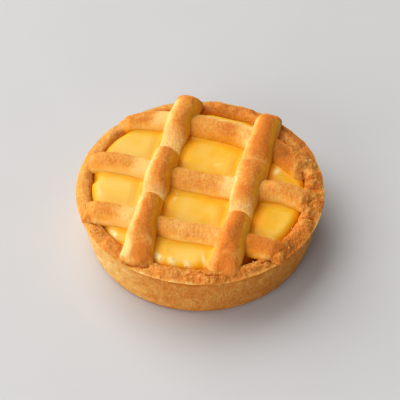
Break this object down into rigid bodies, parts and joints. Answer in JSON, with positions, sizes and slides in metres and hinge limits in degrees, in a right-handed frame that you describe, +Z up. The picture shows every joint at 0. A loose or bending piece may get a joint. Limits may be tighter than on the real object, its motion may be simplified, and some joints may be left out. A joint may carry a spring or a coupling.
{
  "type": "custard crostata",
  "caption": "Small round shortcrust tart with a leaning wall, a rough browned rim and glossy yellow custard under an open lattice of soft dough strips.",
  "frame": {"origin": "middle of the flat underside, on the surface that the tart rests on", "axes": "+Z is up; +X is to the right in the picture, along the strips that lie across; +Y is away from the camera, roughly along the two upper strips"},
  "size_m": [0.0795, 0.0796, 0.0249],
  "materials": {
    "crust": "baked shortcrust, dry and rough, golden brown",
    "custard": "set egg custard, smooth and glossy, deep yellow",
    "lattice": "baked shortcrust, pale gold in the dips and toasted brown on the crowns"
  },
  "bodies": {
    "root": {"crust": "crust", "custard": "custard", "lattice_back": "lattice", "lattice_middle": "lattice", "lattice_front": "lattice", "lattice_left": "lattice", "lattice_right": "lattice"}
  },
  "joints": []
}
